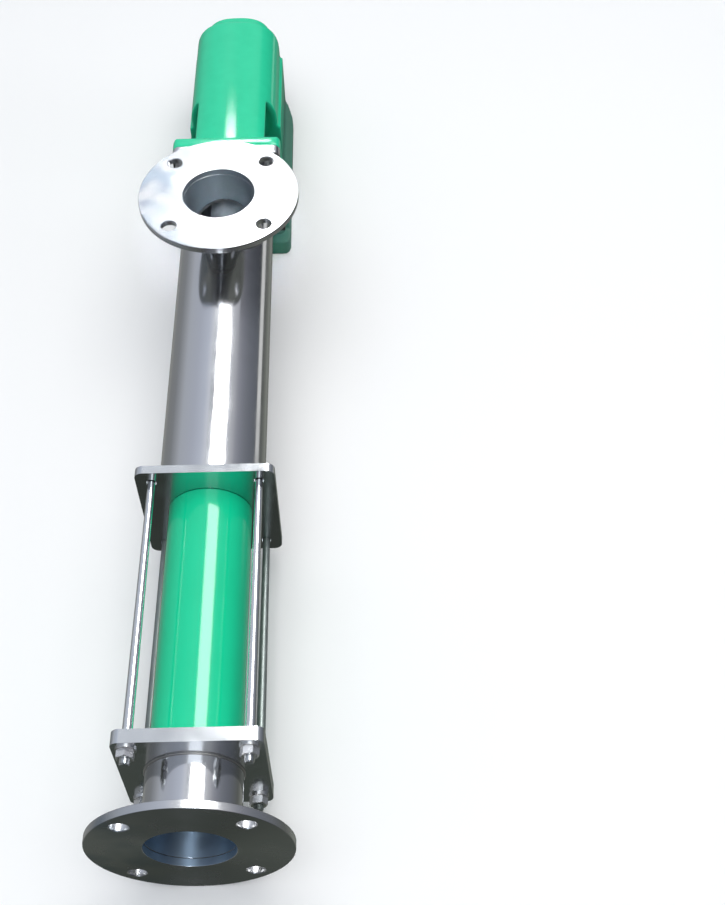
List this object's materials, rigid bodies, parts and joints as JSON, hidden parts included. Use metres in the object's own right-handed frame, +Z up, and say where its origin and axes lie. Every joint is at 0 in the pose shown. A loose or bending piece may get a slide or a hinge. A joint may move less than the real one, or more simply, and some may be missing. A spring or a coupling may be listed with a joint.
{
  "type": "progressive cavity pump",
  "caption": "One-stage stainless steel progressive cavity pump with flanged ports, a clamped green stator and a green cast bearing bracket with a bare drive shaft.",
  "frame": {"origin": "centre of the pump's box on the floor, under the middle of its length", "axes": "+Y along the pump's axis towards the drive end, +Z up through the suction port"},
  "size_m": [0.195, 1.266, 0.2045],
  "materials": {
    "stainless": "polished stainless steel",
    "stator_green": "glossy green enamel on steel tube",
    "casting_green": "green enamel on an iron casting",
    "rotor_steel": "polished chromed steel",
    "machined_steel": "turned steel",
    "black_rubber": "moulded nitrile rubber",
    "graphite_packing": "braided graphite packing"
  },
  "bodies": {
    "root": {"discharge_flange": "stainless", "discharge_pipe": "stainless", "discharge_end_plate": "stainless", "tie_rod_lower_left": "stainless", "tie_rod_lower_right": "stainless", "tie_rod_upper_left": "stainless", "tie_rod_upper_right": "stainless", "suction_side_plate": "stainless", "suction_casing": "stainless", "suction_neck": "stainless", "suction_flange": "stainless", "casing_end_plate": "stainless", "gland_box": "stainless", "gland_follower": "stainless", "gland_stud_left": "stainless", "gland_stud_right": "stainless", "stator_tube": "stator_green", "bearing_bracket": "casting_green", "front_bearing_cover": "casting_green", "rear_bearing_cover": "casting_green", "rotor": "rotor_steel", "rotor_joint": "machined_steel", "rotor_joint_pin": "machined_steel", "coupling_rod": "machined_steel", "shaft_joint": "machined_steel", "shaft_joint_pin": "machined_steel", "drive_shaft": "machined_steel", "shaft_key": "machined_steel", "shaft_slinger": "black_rubber", "stator_rubber": "black_rubber", "gland_packing": "graphite_packing"}
  },
  "joints": []
}
